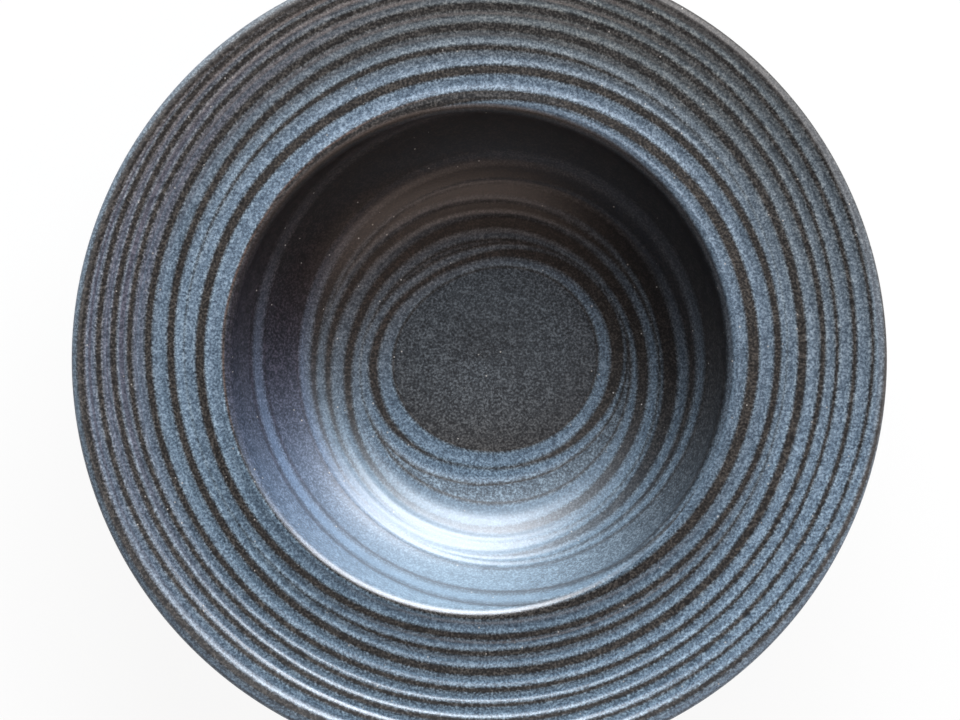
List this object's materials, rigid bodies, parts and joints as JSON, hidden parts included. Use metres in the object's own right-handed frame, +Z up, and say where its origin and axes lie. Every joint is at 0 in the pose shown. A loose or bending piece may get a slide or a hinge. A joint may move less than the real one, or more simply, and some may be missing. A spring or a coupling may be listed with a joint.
{
  "type": "bowl",
  "caption": "Deep round stoneware bowl with a broad dished flange, off-centre ripple rings and a turned foot ring, for pasta or soup.",
  "frame": {"origin": "centre of the foot ring on the surface that the bowl stands on", "axes": "+Z up along the bowl's axis, out of the mouth; +X towards the side to which the rings of the well lean"},
  "size_m": [0.27, 0.27, 0.052],
  "materials": {
    "stoneware_clay": "bare fired stoneware, fine grained and matt",
    "dark_glaze": "satin charcoal glaze with a fine blue-grey speckle, warm brown where it breaks over the ridges",
    "blue_glaze": "satin blue-grey reactive glaze with a fine dark speckle"
  },
  "bodies": {
    "root": {"clay_body": "stoneware_clay", "top_dark_glaze": "dark_glaze", "flange_blue_glaze": "blue_glaze", "well_blue_glaze": "blue_glaze", "under_glaze": "dark_glaze", "foot_glaze": "dark_glaze"}
  },
  "joints": []
}
